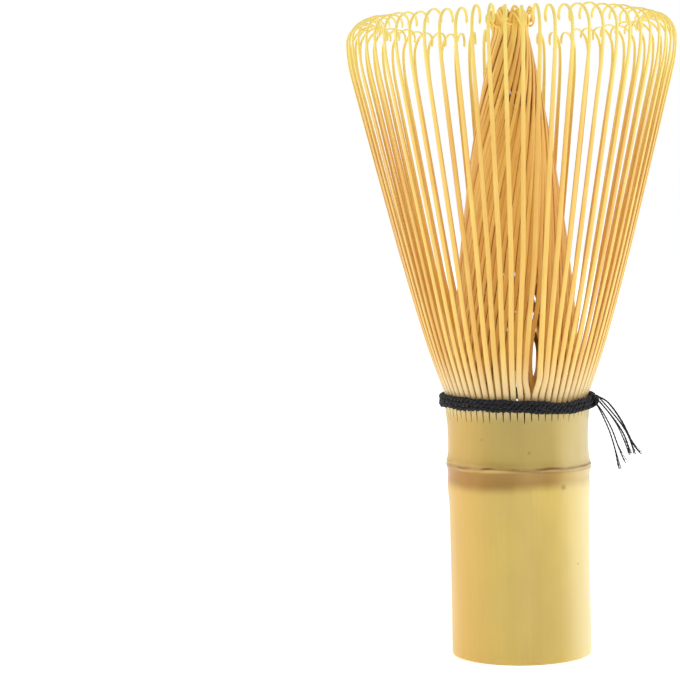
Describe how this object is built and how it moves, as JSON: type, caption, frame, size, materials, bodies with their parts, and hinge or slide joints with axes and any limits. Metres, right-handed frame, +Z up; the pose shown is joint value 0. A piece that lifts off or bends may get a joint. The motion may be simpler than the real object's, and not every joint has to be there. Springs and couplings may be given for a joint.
{
  "type": "bamboo tea whisk",
  "caption": "Tea whisk of split bamboo: a hollow handle with a node, a flared ring of hooked springy tines, a twisted inner bundle and a dark woven thread binding.",
  "frame": {"origin": "centre of the handle's end face, which the whisk stands on", "axes": "+Z up along the whisk's axis, from the handle end to the tines; +X towards the thread's knot"},
  "size_m": [0.0568, 0.0568, 0.1116],
  "materials": {
    "bamboo_handle": "satin",
    "bamboo_outer": "satin",
    "bamboo_inner": "satin",
    "thread": "matte"
  },
  "bodies": {
    "handle": {"culm": "bamboo_handle", "binding_thread": "thread", "thread_knot": "thread", "thread_tail_1": "thread", "thread_tail_2": "thread", "thread_tail_3": "thread", "thread_tail_4": "thread", "thread_tail_5": "thread", "thread_tail_6": "thread"},
    "inner_bundle": {"inner_tines_01": "bamboo_inner", "inner_tines_02": "bamboo_inner", "inner_tines_03": "bamboo_inner", "inner_tines_04": "bamboo_inner", "inner_tines_05": "bamboo_inner", "inner_tines_06": "bamboo_inner", "inner_tines_07": "bamboo_inner", "inner_tines_08": "bamboo_inner", "inner_tines_09": "bamboo_inner", "inner_tines_10": "bamboo_inner", "inner_tines_11": "bamboo_inner", "inner_tines_12": "bamboo_inner", "inner_tines_13": "bamboo_inner", "inner_tines_14": "bamboo_inner", "inner_tines_15": "bamboo_inner", "inner_tines_16": "bamboo_inner"},
    "outer_group_01": {"outer_tines_01": "bamboo_outer"},
    "outer_group_02": {"outer_tines_02": "bamboo_outer"},
    "outer_group_03": {"outer_tines_03": "bamboo_outer"},
    "outer_group_04": {"outer_tines_04": "bamboo_outer"},
    "outer_group_05": {"outer_tines_05": "bamboo_outer"},
    "outer_group_06": {"outer_tines_06": "bamboo_outer"},
    "outer_group_07": {"outer_tines_07": "bamboo_outer"},
    "outer_group_08": {"outer_tines_08": "bamboo_outer"},
    "outer_group_09": {"outer_tines_09": "bamboo_outer"},
    "outer_group_10": {"outer_tines_10": "bamboo_outer"},
    "outer_group_11": {"outer_tines_11": "bamboo_outer"},
    "outer_group_12": {"outer_tines_12": "bamboo_outer"},
    "outer_group_13": {"outer_tines_13": "bamboo_outer"},
    "outer_group_14": {"outer_tines_14": "bamboo_outer"},
    "outer_group_15": {"outer_tines_15": "bamboo_outer"},
    "outer_group_16": {"outer_tines_16": "bamboo_outer"}
  },
  "joints": [
    {"name": "inner_sway", "type": "hinge", "parent": "handle", "child": "inner_bundle", "pos_m": [0, 0, 0.0463], "axis": [1, 0, 0], "range_deg": [-4, 4], "stiffness_Nm_per_rad": 0.15},
    {"name": "outer_flex_01", "type": "hinge", "parent": "handle", "child": "outer_group_01", "pos_m": [0.0124, 0, 0.0463], "axis": [0, 1, 0], "range_deg": [-3.5, 5], "stiffness_Nm_per_rad": 0.02},
    {"name": "outer_flex_02", "type": "hinge", "parent": "handle", "child": "outer_group_02", "pos_m": [0.01146, 0.00475, 0.0463], "axis": [-0.3827, 0.9239, 0], "range_deg": [-3.5, 5], "stiffness_Nm_per_rad": 0.02},
    {"name": "outer_flex_03", "type": "hinge", "parent": "handle", "child": "outer_group_03", "pos_m": [0.00877, 0.00877, 0.0463], "axis": [-0.7071, 0.7071, 0], "range_deg": [-3.5, 5], "stiffness_Nm_per_rad": 0.02},
    {"name": "outer_flex_04", "type": "hinge", "parent": "handle", "child": "outer_group_04", "pos_m": [0.00475, 0.01146, 0.0463], "axis": [-0.9239, 0.3827, 0], "range_deg": [-3.5, 5], "stiffness_Nm_per_rad": 0.02},
    {"name": "outer_flex_05", "type": "hinge", "parent": "handle", "child": "outer_group_05", "pos_m": [0, 0.0124, 0.0463], "axis": [-1, 0, 0], "range_deg": [-3.5, 5], "stiffness_Nm_per_rad": 0.02},
    {"name": "outer_flex_06", "type": "hinge", "parent": "handle", "child": "outer_group_06", "pos_m": [-0.00475, 0.01146, 0.0463], "axis": [-0.9239, -0.3827, 0], "range_deg": [-3.5, 5], "stiffness_Nm_per_rad": 0.02},
    {"name": "outer_flex_07", "type": "hinge", "parent": "handle", "child": "outer_group_07", "pos_m": [-0.00877, 0.00877, 0.0463], "axis": [-0.7071, -0.7071, 0], "range_deg": [-3.5, 5], "stiffness_Nm_per_rad": 0.02},
    {"name": "outer_flex_08", "type": "hinge", "parent": "handle", "child": "outer_group_08", "pos_m": [-0.01146, 0.00475, 0.0463], "axis": [-0.3827, -0.9239, 0], "range_deg": [-3.5, 5], "stiffness_Nm_per_rad": 0.02},
    {"name": "outer_flex_09", "type": "hinge", "parent": "handle", "child": "outer_group_09", "pos_m": [-0.0124, 0, 0.0463], "axis": [0, -1, 0], "range_deg": [-3.5, 5], "stiffness_Nm_per_rad": 0.02},
    {"name": "outer_flex_10", "type": "hinge", "parent": "handle", "child": "outer_group_10", "pos_m": [-0.01146, -0.00475, 0.0463], "axis": [0.3827, -0.9239, 0], "range_deg": [-3.5, 5], "stiffness_Nm_per_rad": 0.02},
    {"name": "outer_flex_11", "type": "hinge", "parent": "handle", "child": "outer_group_11", "pos_m": [-0.00877, -0.00877, 0.0463], "axis": [0.7071, -0.7071, 0], "range_deg": [-3.5, 5], "stiffness_Nm_per_rad": 0.02},
    {"name": "outer_flex_12", "type": "hinge", "parent": "handle", "child": "outer_group_12", "pos_m": [-0.00475, -0.01146, 0.0463], "axis": [0.9239, -0.3827, 0], "range_deg": [-3.5, 5], "stiffness_Nm_per_rad": 0.02},
    {"name": "outer_flex_13", "type": "hinge", "parent": "handle", "child": "outer_group_13", "pos_m": [0, -0.0124, 0.0463], "axis": [1, 0, 0], "range_deg": [-3.5, 5], "stiffness_Nm_per_rad": 0.02},
    {"name": "outer_flex_14", "type": "hinge", "parent": "handle", "child": "outer_group_14", "pos_m": [0.00475, -0.01146, 0.0463], "axis": [0.9239, 0.3827, 0], "range_deg": [-3.5, 5], "stiffness_Nm_per_rad": 0.02},
    {"name": "outer_flex_15", "type": "hinge", "parent": "handle", "child": "outer_group_15", "pos_m": [0.00877, -0.00877, 0.0463], "axis": [0.7071, 0.7071, 0], "range_deg": [-3.5, 5], "stiffness_Nm_per_rad": 0.02},
    {"name": "outer_flex_16", "type": "hinge", "parent": "handle", "child": "outer_group_16", "pos_m": [0.01146, -0.00475, 0.0463], "axis": [0.3827, 0.9239, 0], "range_deg": [-3.5, 5], "stiffness_Nm_per_rad": 0.02}
  ]
}
